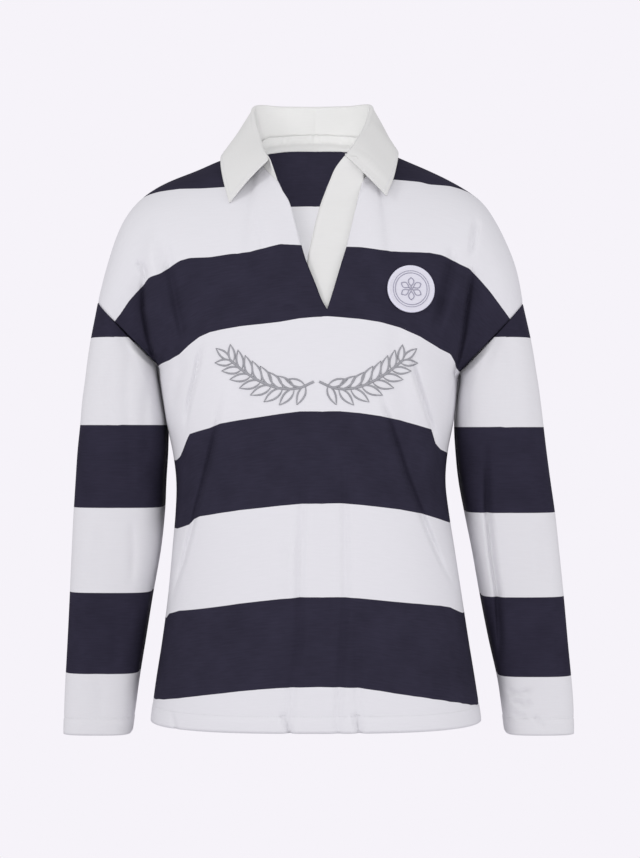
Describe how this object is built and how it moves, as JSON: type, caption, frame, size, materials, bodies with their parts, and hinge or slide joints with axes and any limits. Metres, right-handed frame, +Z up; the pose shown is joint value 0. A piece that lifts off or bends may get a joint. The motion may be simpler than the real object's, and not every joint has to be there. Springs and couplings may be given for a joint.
{
  "type": "polo shirt",
  "caption": "Long-sleeved polo shirt with broad navy and white bands, woven fold-over collar, open neck slit and a round chest patch, hollow as worn",
  "frame": {"origin": "Middle of the neck opening at the height of the shoulder points", "axes": "X to the viewer's right across the shirt, front faces -Y, +Z up along the body"},
  "size_m": [0.5841, 0.2391, 0.7259],
  "materials": {
    "jersey": "matte",
    "twill": "matte",
    "patch": "satin"
  },
  "bodies": {
    "root": {"front": "jersey", "back": "jersey", "sleeve_right": "jersey", "sleeve_left": "jersey", "collar": "twill", "neck_tape": "twill", "placket_strip": "twill", "chest_patch": "patch"}
  },
  "joints": []
}
